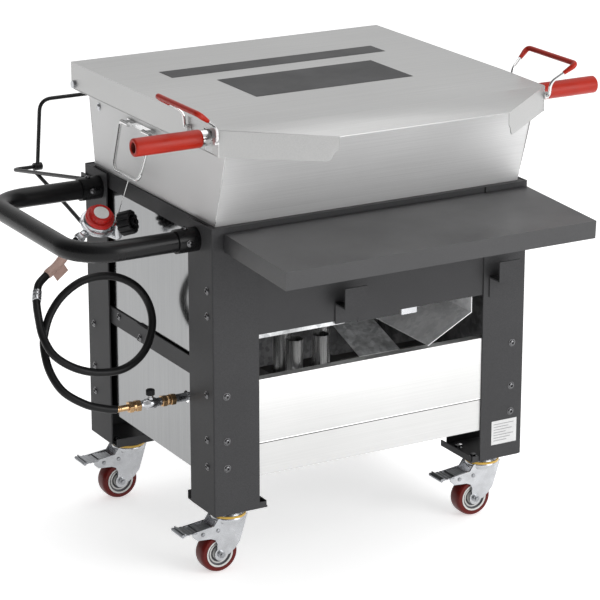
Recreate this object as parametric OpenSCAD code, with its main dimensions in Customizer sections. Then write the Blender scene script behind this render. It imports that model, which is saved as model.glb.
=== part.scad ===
// Wheeled outdoor boil station: a lidded stainless tank on a folded-steel
// frame with wind panels, gas burner, folding shelf, push bar, lid rest
// and four braked casters. Millimetres, +Z up, the user stands at -Y.

/* [Frame] */
// Half of the frame width, outside the legs
half_w = 340; // [336:1:346]
// Half of the frame depth, outside the legs
half_d = 266.5; // [264:0.5:268]
// Width of each leg flange
leg_w = 95; // [80:1:100]
// Leg sheet thickness
leg_t = 3; // [2:0.5:3]
// Height of the underside of the legs above the floor
leg_bottom = 130; // [130:1:132]
// Height of the top of the frame above the floor
frame_top = 685; // [684:0.5:686]

/* [Panels] */
// Height of the lower edge of the wind panels
panel_bottom = 193; // [180:1:240]
// Height of the upper edge of the front wind panel
panel_top = 383; // [350:1:400]
// Height of the lower edge of the front apron
apron_bottom = 470; // [460:1:478]

/* [Lid] */
// Half of the lid width
lid_half_w = 346; // [345:0.5:346.5]
// Depth of the lid side flange
flange_h = 52; // [45:1:54]
// Lid opening angle that rests on the rack
lid_open = 190; // [180:1:190]

/* [Casters] */
// Wheel diameter
wheel_d = 76; // [70:1:78]
// Wheel tread width
wheel_w = 32; // [24:1:32]
// Trail of the axle behind the swivel
trail = 26; // [20:1:26]
// Swivel position across the frame
swivel_x = 284; // [280:1:286]
// Swivel position along the frame
swivel_y = 213; // [210:1:216]

/* [Push bar] */
// Push bar tube diameter
bar_d = 38; // [30:1:38]
// Centre line distance of the cross run from the middle of the frame
bar_reach = 571; // [560:1:585]

/* [Hose] */
// Hose diameter
hose_d = 15; // [12:1:16]
// Number of sides of the hose tube
hose_sides = 10; // [8:1:12]

/* [Hidden] */
$fn = 48;
// The origin is on the floor under the middle of the object
ox = 55;
oy = -56.4;
up = 3;
hinge_y = 291;
hinge_z = 835;
tube_y = -267;
tube_z = 853;
shelf_y = -276;
shelf_z = 642;
shelf_tilt = 2.8;
gas_y = -140;
gas_z = 324;
bail_y = 38;
bail_x = 339;
bail_z = 802;
pin_y = 604;
pin_z = 590;
black = [0.13, 0.13, 0.14];
steel = [0.78, 0.78, 0.77];
zinc = [0.66, 0.68, 0.70];
galv = [0.55, 0.57, 0.58];
red = [0.72, 0.13, 0.08];
brass = [0.72, 0.53, 0.30];
FB = [[-1, -1], [1, -1], [-1, 1], [1, 1]];

// Hose route: from the regulator outlet, under the push bar, one full
// loop beside the panel, and on to the valve (x, y, z)
route = [[-462, 46, 600], [-500, 40, 565], [-530, 35, 545], [-549, 28, 533],
  [-558, 18, 522], [-568, 0, 507], [-580, -35, 487], [-590, -75, 465],
  [-580, -100, 435], [-545, -115, 409], [-498, -120, 394], [-445, -115, 392],
  [-398, -100, 412], [-370, -80, 452], [-368, -60, 492], [-392, -50, 528],
  [-436, -45, 550], [-488, -42, 550], [-530, -40, 528], [-558, -40, 495],
  [-575, -48, 460], [-583, -62, 436], [-586, -92, 402], [-573, -120, 370],
  [-537, -135, 344], [-500, -140, 330], [-476, -140, 324]];

function crom(p0, p1, p2, p3, t) = 0.5 * (2 * p1 + (p2 - p0) * t
  + (2 * p0 - 5 * p1 + 4 * p2 - p3) * t * t
  + (3 * p1 - p0 - 3 * p2 + p3) * t * t * t);
function route_at(i) = i < 0 ? 2 * route[0] - route[1]
  : i >= len(route) ? 2 * route[len(route) - 1] - route[len(route) - 2] : route[i];
hose_n = 3;
hose_pts = [for (i = [0 : len(route) - 2]) for (k = [0 : hose_n - 1])
  crom(route_at(i - 1), route_at(i), route_at(i + 1), route_at(i + 2), k / hose_n),
  route[len(route) - 1]];
function unit(v) = v / norm(v);

// Moves the frame coordinates onto the origin
module place() translate([ox, oy, up]) children();
module place0() translate([ox, oy, 0]) children();

// Round rod between two points
module rod(a, b, r) {
  v = b - a; l = norm(v);
  translate(a) rotate([0, acos(v[2] / l), atan2(v[1], v[0])]) cylinder(r = r, h = l);
}
// Round rod through several points, with a small welded knuckle at each joint
module wire(p, r) {
  for (i = [0 : len(p) - 2]) rod(p[i], p[i + 1], r);
  for (i = [1 : len(p) - 2]) translate(p[i]) sphere(r = r + 0.3);
}
module box(a, b) translate(a) cube(b - a);

// Frame ---------------------------------------------------------------
module leg_l(sx, sy) {
  color(black) place() mirror([sx > 0 ? 1 : 0, 0, 0]) mirror([0, sy > 0 ? 1 : 0, 0])
    translate([-half_w, -half_d, leg_bottom - up]) linear_extrude(frame_top - leg_bottom)
      difference() {
        union() {
          translate([3, 3]) circle(r = 3);
          translate([3, 0]) square([leg_w - 3, leg_t]);
          translate([0, 3]) square([leg_t, leg_w - 3]);
        }
        translate([leg_t, leg_t]) square([leg_w, leg_w]);
      }
}
module leg_front_left() leg_l(-1, -1);
module leg_front_right() leg_l(1, -1);
module leg_rear_left() leg_l(-1, 1);
module leg_rear_right() leg_l(1, 1);

// Four angle bars the tank ledge sits on
module top_rails() color(black) place() {
  for (s = [-1, 1]) {
    difference() {
      box([s > 0 ? 303 : -331, -236, 651], [s > 0 ? 331 : -303, 236, 681]);
      box([s > 0 ? 302 : -329, -237, 650], [s > 0 ? 329 : -302, 237, 679]);
    }
    difference() {
      box([-336, s > 0 ? 238 : -261, 651], [336, s > 0 ? 261 : -238, 681]);
      box([-337, s > 0 ? 237 : -259, 650], [337, s > 0 ? 259 : -237, 679]);
    }
  }
}
// Black sheet between the front legs, with a short lip at its lower edge
module front_apron() color(black) place() {
  box([-300, -263.5, apron_bottom - up], [300, -261.5, 681]);
  box([-34, -263.5, apron_bottom - up - 9], [59, -261.5, apron_bottom - up]);
}
module front_panel() color(steel) place() {
  box([-300, -263.5, panel_bottom - up], [300, -262, panel_top - up]);
  box([-300, -262, panel_top - up - 1.5], [300, -245, panel_top - up]);
}
module side_panel_left() color(steel) place() difference() {
  box([-331, -261.5, panel_bottom - up], [-329.8, 261.5, 650.8]);
  translate([-340, gas_y, gas_z]) rotate([0, 90, 0]) cylinder(r = 12, h = 20);
}
module side_panel_right() color(steel) place()
  box([329.8, -261.5, panel_bottom - up], [331, 261.5, 650.8]);
module rear_panel() color(steel) place()
  box([-300, 262, panel_bottom - up], [300, 263.5, 681]);
// Two flat bars a side, overlapped and bolted
module mid_rails() color(black) place() for (s = [0, 1]) mirror([s, 0, 0]) {
  box([-337, -215, 379], [-334, 54, 413]);
  box([-334, 3, 379], [-331, 215, 413]);
}

// Push bar --------------------------------------------------------------
module bend(c, a) translate(c) rotate([0, 0, a]) rotate_extrude(angle = 90)
  translate([75, 0]) difference() { circle(d = bar_d); circle(d = bar_d - 4); }
module pipe(l) linear_extrude(l) difference() { circle(d = bar_d); circle(d = bar_d - 4); }
module push_bar() color(black) place() translate([0, 0, 649]) {
  for (s = [-1, 1]) translate([-bar_reach + 75, 203 * s, 0]) rotate([0, 90, 0])
    pipe(bar_reach - 75 - half_w - 0.3);
  translate([-bar_reach, -128, 0]) rotate([-90, 0, 0]) pipe(256);
  bend([-bar_reach + 75, 128, 0], 90);
  bend([-bar_reach + 75, -128, 0], 180);
}
module push_bar_sockets() color(black) place() for (s = [-1, 1])
  translate([-half_w - 42, 203 * s, 649]) rotate([0, 90, 0]) difference() {
    cylinder(r = 22.5, h = 42);
    translate([0, 0, -1]) cylinder(r = bar_d / 2 + 0.05, h = 44);
  }

// Caster mounts -----------------------------------------------------------
// Channel tray in the foot of each leg
module caster_brackets() color(black) place() for (q = FB)
  mirror([q[0] > 0 ? 1 : 0, 0, 0]) mirror([0, q[1] > 0 ? 1 : 0, 0]) difference() {
    union() {
      box([-337, -263.5, 125], [-227, -152, 128]);
      box([-229.5, -260, 128], [-227, -152, 137]);
      box([-337, -154.5, 128], [-240, -152, 142]);
      box([-250, -263.5, 128], [-229.5, -261, 137]);
    }
    translate([-262, -168, 120]) cylinder(r = 6, h = 12);
  }
// Zinc top plate, raceway and king pin of each caster
module caster_plates() color(zinc) place0() for (q = FB)
  translate([swivel_x * q[0], swivel_y * q[1], 0]) {
    box([-46, -33, 125], [46, 33, 128]);
    translate([0, 0, 114]) cylinder(r1 = 31, r2 = 25, h = 11);
    translate([0, 0, 110]) cylinder(r = 22, h = 4);
    translate([0, 0, 100]) cylinder(r = 6, h = 10);
    translate([0, 0, 100]) cylinder(r = 10, h = 3);
  }
module caster_seals() color([0.85, 0.66, 0.12]) place0() for (q = FB)
  translate([swivel_x * q[0], swivel_y * q[1], 110]) difference() {
    cylinder(r = 34, h = 4);
    translate([0, 0, -1]) cylinder(r = 22.3, h = 6);
  }
module screw(p, a) translate(p) rotate(a) {
  intersection() { translate([0, 0, -3.5]) sphere(r = 7); cylinder(r = 6, h = 4); }
}
module fasteners() color([0.3, 0.3, 0.31]) place() {
  for (q = FB) for (z = [219, 272, 360]) {
    screw([half_w * q[0], 240 * q[1], z], [0, 90 * q[0], 0]);
    screw([313 * q[0], half_d * q[1], z], [-90 * q[1], 0, 0]);
  }
  for (z = [513, 561]) for (s = [-1, 1]) screw([half_w * s, -245, z], [0, 90 * s, 0]);
  for (s = [-1, 1]) {
    screw([337 * s, 138, 402] - [3 * s, 0, 0], [0, 90 * s, 0]);
    screw([337 * s, 40, 388], [0, 90 * s, 0]);
    screw([-363, 203 * s, 649 + 22.5], [0, 0, 0]);
    screw([-363, 203 * s - 22.5, 649], [90, 0, 0]);
    screw([-326, 235 * s - 12, 802], [0, -90, 0]);
  }
  for (q = FB) for (i = [-38, 38]) for (j = [-27.5, 27.5])
    translate([swivel_x * q[0] + i, swivel_y * q[1] + j, 128]) cylinder(r = 6.5, h = 6, $fn = 6);
}

// Lid rest ----------------------------------------------------------------
// Rod arm from each rear leg, with a brace and an inward pivot pin
module lid_rest_arms() color(black) place() for (s = [0, 1]) mirror([s, 0, 0]) {
  box([-344, 236, 640], [-340, 276, 662]);
  box([-344, 250, 548], [-340, 276, 566]);
  wire([[-346, 262, 652], [-346, pin_y, pin_z], [-280, pin_y, pin_z]], 4);
  wire([[-346, 488, 611], [-346, 346, 579], [-346, 262, 557]], 3.7);
}
module lid_rest_frame() color(black) place() {
  for (t = [-1, 1]) translate([291 * t - 9, pin_y, pin_z]) rotate([0, 90, 0]) difference() {
    cylinder(r = 8, h = 18);
    translate([0, 0, -1]) cylinder(r = 4.05, h = 20);
  }
  wire([[-291, 603.1, 595.9], [-291, 582, 736.5], [291, 582, 736.5], [291, 603.1, 595.9]], 4);
}

// Front hooks and shelf ---------------------------------------------------
module hook(x0, x1, y) {
  box([x0, y - 3, 462], [x1, y, 503]);
  box([x0, -302, 500], [x1, y - 3, 503]);
  box([x0, -302, 503], [x1, -299, 540]);
}
module hooks() color(black) place() { hook(-83, -36, -263.5); hook(257, 304, -half_d); }
module shelf_lugs() color(black) place() for (s = [-1, 1]) {
  box([286 * s - 9, -283, 632], [286 * s + 9, -half_d, 650]);
  translate([286 * s - 15, shelf_y, shelf_z]) rotate([0, 90, 0]) cylinder(r = 3, h = 30);
}
// Open-bottomed tray that hinges down in front of the apron
module shelf() color(black) place() translate([0, shelf_y, shelf_z]) rotate([shelf_tilt, 0, 0])
  translate([0, -shelf_y, -shelf_z]) difference() {
    union() {
      difference() {
        box([-318, -498, 638], [335, -270.5, 672]);
        box([-316.5, -496.5, 637], [333.5, -272, 670.5]);
      }
      for (s = [-1, 1]) for (e = [-11.5, 11.5])
        translate([286 * s + e - 1.5, shelf_y, shelf_z]) rotate([0, 90, 0]) {
          cylinder(r = 6.5, h = 3);
          translate([-29, -6, 0]) cube([29, 12, 3]);
        }
    }
    for (s = [-1, 1]) {
      translate([286 * s - 14, shelf_y, shelf_z]) rotate([0, 90, 0]) cylinder(r = 3.05, h = 28);
      box([286 * s - 9.7, -275, 637], [286 * s + 9.7, -265, 656]);
    }
  }

// Tank and basket ---------------------------------------------------------
// Four-sided funnel: lower x half, y0, y1, z then upper ones
module funnel(xa, ya0, ya1, za, xb, yb0, yb1, zb)
  polyhedron(points = [[-xa, ya0, za], [xa, ya0, za], [xa, ya1, za], [-xa, ya1, za],
      [-xb, yb0, zb], [xb, yb0, zb], [xb, yb1, zb], [-xb, yb1, zb]],
    faces = [[0, 1, 2, 3], [7, 6, 5, 4], [0, 4, 5, 1], [1, 5, 6, 2], [2, 6, 7, 3], [3, 7, 4, 0]]);
module tank() color(steel) place() {
  difference() {
    union() {
      funnel(326, -252, 247, 681, 326, -300, 270, 842);
      box([-300, -234, 560], [300, 234, 682]);
    }
    funnel(324.5, -250, 245, 682.5, 324.5, -299, 269, 843);
    box([-298.5, -232.5, 561.5], [298.5, 232.5, 690]);
  }
  // Hinge ears at the rear corners
  for (s = [-1, 1]) box([s > 0 ? 326 : -342, 258, 822], [s > 0 ? 342 : -326, 300, 842]);
}
module basket() color(steel) place() {
  difference() {
    union() {
      box([-292, -226, 566], [292, 226, 684]);
      funnel(292, -226, 226, 684, 316, -284, 244, 836);
    }
    box([-290.5, -224.5, 568], [290.5, 224.5, 684.2]);
    funnel(290.5, -224.5, 224.5, 684, 314.6, -282.5, 242.5, 837);
  }
  for (s = [-1, 1]) box([s > 0 ? 316 : -319, -284, 815], [s > 0 ? 319 : -316, -248, 870]);
}
module basket_tubes() color(steel) place() for (s = [0, 1]) mirror([s, 0, 0])
  translate([-362, tube_y, tube_z]) rotate([0, 90, 0]) {
    difference() {
      union() { cylinder(r = 15, h = 15); cylinder(r = 11, h = 43); }
      translate([0, 0, -1]) cylinder(r = 9.5, h = 45);
    }
  }
module basket_grips() color(red) place() for (s = [0, 1]) mirror([s, 0, 0])
  translate([s > 0 ? -486 : -494, tube_y, tube_z]) rotate([0, 90, 0]) difference() {
    l = s > 0 ? 124 : 132;
    union() { cylinder(r = 15.5, h = l); translate([0, 0, 1]) cylinder(r = 16.5, h = l - 1); }
    translate([0, 0, -1]) cylinder(r = 9.5, h = l + 2);
  }
module drop_handle_brackets() color(steel) place() for (s = [0, 1]) mirror([s, 0, 0])
  difference() {
    box([-bail_x - 5, bail_y - 60, bail_z - 5], [-326, bail_y + 60, bail_z + 5]);
    for (t = [-1, 1]) translate([-bail_x, bail_y + 60 * t, bail_z]) rotate([90 * t, 0, 0])
      translate([0, 0, -1]) cylinder(r = 2.55, h = 15);
  }
// Bail with pins turned into the bracket ends, leaning out a little
module bail() translate([-bail_x, bail_y, bail_z]) rotate([0, 14, 0]) {
  for (t = [-1, 1]) rod([0, 47 * t, 0], [0, 64 * t, 0], 2.5);
  for (t = [-1, 1]) {
    translate([0, 64 * t, 0]) sphere(r = 2.8);
    rod([0, 64 * t, 0], [0, 56 * t, -80], 2.5);
    translate([0, 56 * t, -80]) sphere(r = 2.8);
    rod([0, 56 * t, -80], [0, 46 * t, -90], 2.5);
    translate([0, 46 * t, -90]) sphere(r = 2.8);
  }
  rod([0, -46, -90], [0, 46, -90], 2.5);
}
module drop_handle_left() color(steel) place() bail();
module drop_handle_right() color(steel) place() mirror([1, 0, 0]) bail();
module hinge_bolts() color(zinc) place() for (s = [0, 1]) mirror([s, 0, 0])
  translate([-351, hinge_y, hinge_z]) rotate([0, 90, 0]) {
    translate([0, 0, 4.7]) cylinder(r = 4, h = 4.3);
    cylinder(r = 7.5, h = 4.7);
  }

// Lid -------------------------------------------------------------------
lid_z = 877;
lid_yb = 305;
lid_yc = -305;
lid_yf = -440;
nose = 177;
flap_l = norm([lid_half_w - nose, lid_yc - lid_yf]);
module lid() color(steel) place() {
  translate([0, 0, lid_z - 1.5]) linear_extrude(1.5) polygon([[-lid_half_w, lid_yb],
    [lid_half_w, lid_yb], [lid_half_w, lid_yc], [nose, lid_yf], [-nose, lid_yf], [-lid_half_w, lid_yc]]);
  for (s = [0, 1]) mirror([s, 0, 0]) {
    // Side flange with the pivot hole and the notch over the basket tube
    difference() {
      union() {
        box([-lid_half_w, lid_yc - 1.2, lid_z - flange_h], [-lid_half_w + 1.5, lid_yb - 0.4, lid_z - 1]);
        for (y = [-197, -304]) box([-lid_half_w - 8, y - 4, 849], [-lid_half_w, y + 4, 861]);
      }
      translate([-360, hinge_y, hinge_z]) rotate([0, 90, 0]) cylinder(r = 4.05, h = 20);
      box([-360, tube_y - 15, 820], [-340, tube_y + 15, 867]);
      for (y = [-197, -304]) translate([-lid_half_w - 5, y - 6, 855]) rotate([-90, 0, 0]) cylinder(r = 2.55, h = 12);
    }
    // Flap along the front chamfer, cut short at the nose
    translate([-lid_half_w, lid_yc, lid_z - 1.5]) rotate([0, 0, atan2(lid_yf - lid_yc, lid_half_w - nose)])
      rotate([90, 0, 0]) translate([0, 0, -1.8]) linear_extrude(1.5) polygon(concat(
        [[0.5, 0.7], [flap_l - 1, 0.7], [flap_l - 1, -28]],
        [for (a = [0 : 15 : 90]) [flap_l - 25 + 14 * cos(a), -36 - 14 * sin(a)]],
        [[0.5, 2 - flange_h]]));
  }
}
module lid_handle_wires() color(steel) place() for (s = [0, 1]) mirror([s, 0, 0]) {
  for (t = [[-197, -170, 1], [-304, -332, -1]]) {
    x = -lid_half_w - 5;
    rod([x, t[0] - 5 * t[2], 855], [x, t[0] + 9 * t[2], 855], 2.5);
    wire([[x, t[0] + 9 * t[2], 855], [x - 2, t[0] + 11 * t[2], 882], [-398, t[1], 915]], 2.5);
    translate([x, t[0] + 9 * t[2], 855]) sphere(r = 2.8);
    translate([-398, t[1], 915]) sphere(r = 2.8);
  }
  rod([-398, -170, 915], [-398, -332, 915], 2.5);
}
module lid_handle_grips() color(red) place() for (s = [0, 1]) mirror([s, 0, 0]) difference() {
  union() {
    rod([-398, -170, 915], [-398, -332, 915], 5);
    translate([-398, -170, 915]) sphere(r = 5.3);
    translate([-398, -332, 915]) sphere(r = 5.3);
    rod([-398, -170, 915], [-376, -178.8, 898.7], 5);
    rod([-398, -332, 915], [-376, -323.5, 898.7], 5);
  }
  rod([-398, -170, 915], [-398, -332, 915], 2.5);
  translate([-398, -170, 915]) sphere(r = 2.8);
  translate([-398, -332, 915]) sphere(r = 2.8);
  rod([-398, -170, 915], [-353, -186, 882], 2.5);
  rod([-398, -332, 915], [-353, -315, 882], 2.5);
}

// Burner chamber --------------------------------------------------------
module burner_tubes() color(galv) place() for (p = [[-77, -100, 84], [-18, -100, 84], [-69, -36, 90], [20, -36, 90]])
  translate([p[0], p[1], 300]) difference() {
    cylinder(r = 17, h = p[2]);
    translate([0, 0, 4]) cylinder(r = 15.4, h = p[2]);
  }
module burner_manifold() color([0.2, 0.2, 0.2]) place() {
  box([-100, -150, 276], [60, 0, 300]);
  box([-329.8, 20, 260], [329.8, 50, 276]);
  box([-60, -20, 260], [20, 20, 276]);
}
module gas_pipe() color(zinc) place() {
  translate([-356, gas_y, gas_z]) rotate([0, 90, 0]) cylinder(r = 8, h = 306);
  translate([-58, gas_y, 300]) cylinder(r = 8, h = 24);
  translate([-50, gas_y, gas_z]) sphere(r = 8);
  translate([-58, gas_y, gas_z]) sphere(r = 8);
}
// Sloped galvanised plates round the burner, and the strip behind the apron
module heat_baffles() color(galv) place() {
  translate([12, -100, 391]) rotate([18, 0, 0]) translate([0, -100, 0]) cube([90, 120, 1.5]);
  translate([12, -78, 399]) cube([90, 1.5, 60]);
  translate([125, -261, 383]) rotate([0, -28, 0]) cube([110, 290, 1.5]);
  translate([221, -261, 434]) cube([1.5, 290, 45]);
  box([-245, -261.5, 459], [-60, -260.3, 476]);
}

// Gas valve ---------------------------------------------------------------
module valve_body() color(zinc) place() {
  translate([-428, gas_y, gas_z]) rotate([0, 90, 0]) {
    cylinder(r = 8, h = 44);
    translate([0, 0, 12]) cylinder(r = 10, h = 20);
  }
  translate([-406, gas_y, gas_z]) cylinder(r = 5, h = 16);
}
module brass_nuts() color(brass) place() {
  for (x = [-452, -384]) translate([x, gas_y, gas_z]) rotate([0, 90, 0]) difference() {
    cylinder(r = 11.5, h = x < -400 ? 24 : 28, $fn = 6);
    if (x > -400) cylinder(r = 8, h = 60);
  }
  translate([-476, gas_y, gas_z]) rotate([0, 90, 0]) cylinder(r = 6, h = 24);
}
module valve_knob() color(black) place() translate([-406, gas_y, gas_z + 16.3]) difference() {
  cylinder(r = 8.5, h = 11);
  for (a = [0 : 45 : 315]) rotate([0, 0, a]) translate([9.5, 0, -1]) cylinder(r = 2, h = 13, $fn = 24);
}

// Hose and regulator --------------------------------------------------------
module tube(pts, r, n) {
  m = len(pts);
  tan = [for (i = [0 : m - 1]) unit(pts[min(i + 1, m - 1)] - pts[max(i - 1, 0)])];
  ring = [for (i = [0 : m - 1]) let (u = unit(cross(tan[i], [0.2, 1, 0.15])), v = cross(tan[i], u))
    [for (k = [0 : n - 1]) pts[i] + r * (cos(360 * k / n) * u + sin(360 * k / n) * v)]];
  polyhedron(points = [for (q = ring) each q], faces = concat(
    [[for (k = [0 : n - 1]) k]],
    [for (i = [0 : m - 2]) for (k = [0 : n - 1]) [i * n + k, (i + 1) * n + k, (i + 1) * n + (k + 1) % n, i * n + (k + 1) % n]],
    [[for (k = [n - 1 : -1 : 0]) (m - 1) * n + k]]));
}
module hose() color([0.08, 0.08, 0.08]) place() tube(hose_pts, hose_d / 2, hose_sides);
module around(p, q, r, h0, h1, hole) {
  v = q - p; l = norm(v);
  translate(p) rotate([0, acos(v[2] / l), atan2(v[1], v[0])]) translate([0, 0, h0]) difference() {
    cylinder(r = r, h = h1 - h0);
    if (hole > 0) translate([0, 0, -1]) cylinder(r = hole, h = h1 - h0 + 2);
  }
}
module hose_ferrule() color(zinc) place() around(route[4], route[5], 8.8, 0, 23, 0);
module hose_tag() color([0.80, 0.66, 0.60]) place() around(route[1], route[2], 9, 4, 32, 0);
reg_c = [-414, 50, 630];
module reg() translate(reg_c) rotate([35, 0, 0]) children();
module regulator_body() color(zinc) place() {
  reg() {
    translate([0, 0, -30]) cylinder(r = 18, h = 18);
    translate([0, 0, -12]) cylinder(r = 34, h = 10);
    translate([0, 0, -2]) cylinder(r = 28, h = 6);
  }
  rod([-432, 52, 614], [-462, 46, 600], 8);
  wire([[-402, 53, 606.5], [-380, 35.5, 596.6], [-388, 23.7, 623.8], [-383.2, 18.2, 626.2]], 7);
}
module regulator_cap() color(red) place() reg() {
  translate([0, 0, 4.3]) cylinder(r = 27.5, h = 10);
  translate([0, 0, 14.3]) cylinder(r = 21, h = 9);
}
module regulator_handwheel() color(black) place()
  translate([-383, 18, 626.3]) rotate([0, acos(10 / 32.1), atan2(-23, 20)]) {
    translate([0, 0, 0.3]) difference() {
      cylinder(r = 23, h = 26);
      for (a = [0 : 30 : 330]) rotate([0, 0, a]) translate([24, 0, -1]) cylinder(r = 2.5, h = 28, $fn = 24);
      translate([0, 0, 14]) cylinder(r = 14, h = 20);
    }
    translate([0, 0, 14]) cylinder(r = 8, h = 16);
  }
module hanger_wire() color([0.25, 0.25, 0.25]) place() rod([-365, 20, 709], [-394, 70.5, 642.2], 0.7);

// Casters -----------------------------------------------------------------
axle_z = wheel_d / 2;
module at(q) translate([swivel_x * q[0], swivel_y * q[1], 0]) children();
module caster_fork(q) color(zinc) place0() at(q) {
  difference() {
    union() {
      for (s = [-1, 1]) translate([0, s * 19 + 1.5, 0]) rotate([90, 0, 0]) linear_extrude(3) difference() {
        union() {
          polygon([[31, 109.7], [14, 57], [4, 45], [-9.5, axle_z - 3], [-34.5, axle_z], [-33.5, 60], [-38, 69],
            [-47, 73], [-76, 75], [-85, 83], [-85, 92], [-40, 97], [-31, 109.7]]);
          translate([-trail, axle_z]) circle(r = 13);
        }
        translate([-trail, axle_z]) circle(r = 4);
        translate([-64, 85]) circle(r = 3.05);
      }
      translate([0, 0, 106.7]) cylinder(r = 33, h = 3);
    }
    translate([0, 0, 90]) cylinder(r = 6.05, h = 30);
    translate([0, 0, 90]) cylinder(r = 10.3, h = 16.7);
  }
  // Axle bolt with its head and nut
  translate([-trail, -25, axle_z]) rotate([-90, 0, 0]) cylinder(r = 3.98, h = 50);
  translate([-trail, -25, axle_z]) rotate([-90, 0, 0]) cylinder(r = 7, h = 4.5);
  translate([-trail, 20.5, axle_z]) rotate([-90, 0, 0]) cylinder(r = 7.2, h = 5, $fn = 6);
}
// Hub with a bonded tread, dished on both faces
module caster_wheel(q) color([0.45, 0.08, 0.07]) place0() at(q)
  translate([-trail, 0, axle_z]) rotate([90, 0, 0]) rotate_extrude($fn = 72) {
    h = wheel_w / 2; r = wheel_d / 2;
    polygon([[4.05, -17], [9, -17], [9, -9], [22, -9], [24, -h + 1], [28, -h], [r - 3, -h], [r - 0.8, -h + 3], [r, -h + 7],
      [r, h - 7], [r - 0.8, h - 3], [r - 3, h], [28, h], [24, h - 1], [22, 9], [9, 9], [9, 17], [4.05, 17]]);
  }
// Double-action brake pedal on its cross pin
module caster_pedal(q) color(zinc) place0() at(q) translate([-64, 0, 85]) {
  translate([0, -23, 0]) rotate([-90, 0, 0]) cylinder(r = 3, h = 46);
  difference() {
    union() {
      box([-42, -22, 4.5], [-22, 22, 7]);
      box([-24, -17, 4.5], [20, 17, 7]);
      translate([-42, -22, 5]) rotate([-90, 0, 0]) cylinder(r = 3.4, h = 44);
    }
  }
  for (s = [-1, 1]) box([-6, s * 15.75 - 1.25, -4], [8, s * 15.75 + 1.25, 5]);
}
module caster_fork_fl() caster_fork(FB[0]);
module caster_fork_fr() caster_fork(FB[1]);
module caster_fork_rl() caster_fork(FB[2]);
module caster_fork_rr() caster_fork(FB[3]);
module caster_wheel_fl() caster_wheel(FB[0]);
module caster_wheel_fr() caster_wheel(FB[1]);
module caster_wheel_rl() caster_wheel(FB[2]);
module caster_wheel_rr() caster_wheel(FB[3]);
module caster_pedal_fl() caster_pedal(FB[0]);
module caster_pedal_fr() caster_pedal(FB[1]);
module caster_pedal_rl() caster_pedal(FB[2]);
module caster_pedal_rr() caster_pedal(FB[3]);

leg_front_left();
leg_front_right();
leg_rear_left();
leg_rear_right();
top_rails();
front_apron();
front_panel();
side_panel_left();
side_panel_right();
rear_panel();
mid_rails();
push_bar();
push_bar_sockets();
caster_brackets();
caster_plates();
caster_seals();
fasteners();
lid_rest_arms();
hooks();
shelf_lugs();
tank();
basket();
basket_tubes();
basket_grips();
drop_handle_brackets();
hinge_bolts();
burner_tubes();
burner_manifold();
gas_pipe();
heat_baffles();
valve_body();
brass_nuts();
valve_knob();
hose();
hose_ferrule();
hose_tag();
regulator_body();
regulator_cap();
regulator_handwheel();
hanger_wire();
lid();
lid_handle_wires();
lid_handle_grips();
drop_handle_left();
drop_handle_right();
shelf();
lid_rest_frame();
caster_fork_fl();
caster_fork_fr();
caster_fork_rl();
caster_fork_rr();
caster_wheel_fl();
caster_wheel_fr();
caster_wheel_rl();
caster_wheel_rr();
caster_pedal_fl();
caster_pedal_fr();
caster_pedal_rl();
caster_pedal_rr();
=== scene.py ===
import math

import bmesh
import bpy
from mathutils import Matrix, Vector

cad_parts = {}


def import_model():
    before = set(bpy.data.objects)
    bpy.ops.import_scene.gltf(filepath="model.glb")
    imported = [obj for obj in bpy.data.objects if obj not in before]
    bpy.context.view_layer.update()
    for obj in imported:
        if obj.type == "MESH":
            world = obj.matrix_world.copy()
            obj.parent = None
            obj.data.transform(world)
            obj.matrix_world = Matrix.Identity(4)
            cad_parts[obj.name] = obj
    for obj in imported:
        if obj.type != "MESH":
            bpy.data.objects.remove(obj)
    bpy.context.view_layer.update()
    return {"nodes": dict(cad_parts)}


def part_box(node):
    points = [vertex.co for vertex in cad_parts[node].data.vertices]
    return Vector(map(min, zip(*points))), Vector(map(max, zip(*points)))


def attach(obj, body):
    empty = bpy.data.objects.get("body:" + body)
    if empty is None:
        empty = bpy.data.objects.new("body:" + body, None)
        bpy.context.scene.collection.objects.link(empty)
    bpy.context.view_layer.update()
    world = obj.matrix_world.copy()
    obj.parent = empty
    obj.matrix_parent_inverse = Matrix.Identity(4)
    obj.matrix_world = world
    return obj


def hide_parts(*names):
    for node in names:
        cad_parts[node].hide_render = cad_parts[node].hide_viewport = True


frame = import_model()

N = frame["nodes"]

# The frame's own coordinates, taken from where its legs stand
ll, lr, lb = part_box("leg_front_left"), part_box("leg_front_right"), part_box("leg_rear_left")
OX = (ll[0].x + lr[1].x) / 2
OY = (ll[0].y + lb[1].y) / 2
UP = ll[0].z - 0.127


def P(x, y, z, up=None):
    """A point in millimetres of the frame's own coordinates."""
    return Vector((x / 1000 + OX, y / 1000 + OY, z / 1000 + (UP if up is None else up)))


# Camera ---------------------------------------------------------------------
cam_data = bpy.data.cameras.new("camera")
cam = bpy.data.objects.new("camera", cam_data)
bpy.context.scene.collection.objects.link(cam)
cam_data.lens = 162
cam_data.sensor_width = 36
cam_data.clip_end = 100
cam.location = (-2.4878 + OX, -4.3745 + OY, 2.0433)
cam.rotation_euler = (math.radians(72.17), 0, math.radians(-29.55))
bpy.context.scene.camera = cam


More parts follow.
